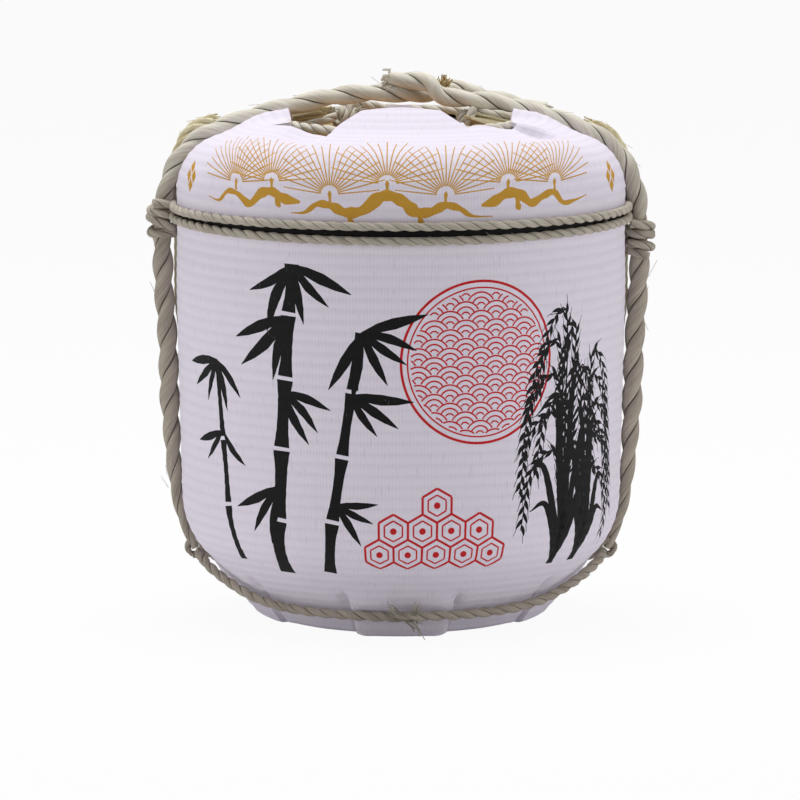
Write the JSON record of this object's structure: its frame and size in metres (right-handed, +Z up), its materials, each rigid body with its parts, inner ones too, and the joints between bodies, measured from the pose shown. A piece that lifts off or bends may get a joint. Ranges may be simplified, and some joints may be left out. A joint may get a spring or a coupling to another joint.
{
  "type": "straw-wrapped sake barrel",
  "caption": "Cedar barrel packed in straw, wrapped in printed straw mats and lashed with thick side ropes and thin cords; its filling bung lifts out through the open mouth.",
  "frame": {"origin": "centre of the base, on the surface it stands on", "axes": "+Z up, -Y out of the printed front, +X to the right of someone who looks at the front"},
  "size_m": [0.4354, 0.387, 0.4544],
  "materials": {
    "cedar": "planed, unfinished",
    "bamboo": "split, dried",
    "printed_mat": "woven, printed, matt",
    "straw": "dry straw",
    "thick_rope": "laid straw rope, matt",
    "thin_cord": "laid cord, matt"
  },
  "bodies": {
    "barrel": {"stave_01": "cedar", "stave_02": "cedar", "stave_03": "cedar", "stave_04": "cedar", "stave_05": "cedar", "stave_06": "cedar", "stave_07": "cedar", "stave_08": "cedar", "stave_09": "cedar", "stave_10": "cedar", "stave_11": "cedar", "stave_12": "cedar", "stave_13": "cedar", "stave_14": "cedar", "stave_15": "cedar", "stave_16": "cedar", "stave_17": "cedar", "stave_18": "cedar", "head_board_1": "cedar", "head_board_2": "cedar", "head_board_3": "cedar", "head_board_4": "cedar", "head_board_5": "cedar", "bottom_board_1": "cedar", "bottom_board_2": "cedar", "bottom_board_3": "cedar", "bottom_board_4": "cedar", "bottom_board_5": "cedar", "tap_plug": "cedar", "hoop_1": "bamboo", "hoop_2": "bamboo", "hoop_3": "bamboo", "hoop_4": "bamboo", "hoop_5": "bamboo", "hoop_6": "bamboo", "head_dowels": "bamboo", "bottom_dowels": "bamboo", "front_mat": "printed_mat", "back_mat": "printed_mat", "base_pad": "straw", "straw_jacket": "straw", "straw_collar": "straw", "left_shoulder_straw": "straw", "right_shoulder_straw": "straw", "left_rope": "thick_rope", "right_rope": "thick_rope", "front_cord_upper": "thin_cord", "front_cord_lower": "thin_cord", "back_cord_upper": "thin_cord", "back_cord_lower": "thin_cord", "bottom_cord": "thin_cord", "mouth_cord": "thin_cord", "left_hitch": "thin_cord", "right_hitch": "thin_cord", "left_tie": "thin_cord", "right_tie": "thin_cord"},
    "bung": {"bung": "cedar"}
  },
  "joints": [
    {"name": "bung_lift", "type": "slide", "parent": "barrel", "child": "bung", "axis": [0, 0, 1], "range_m": [0, 0.06]}
  ]
}
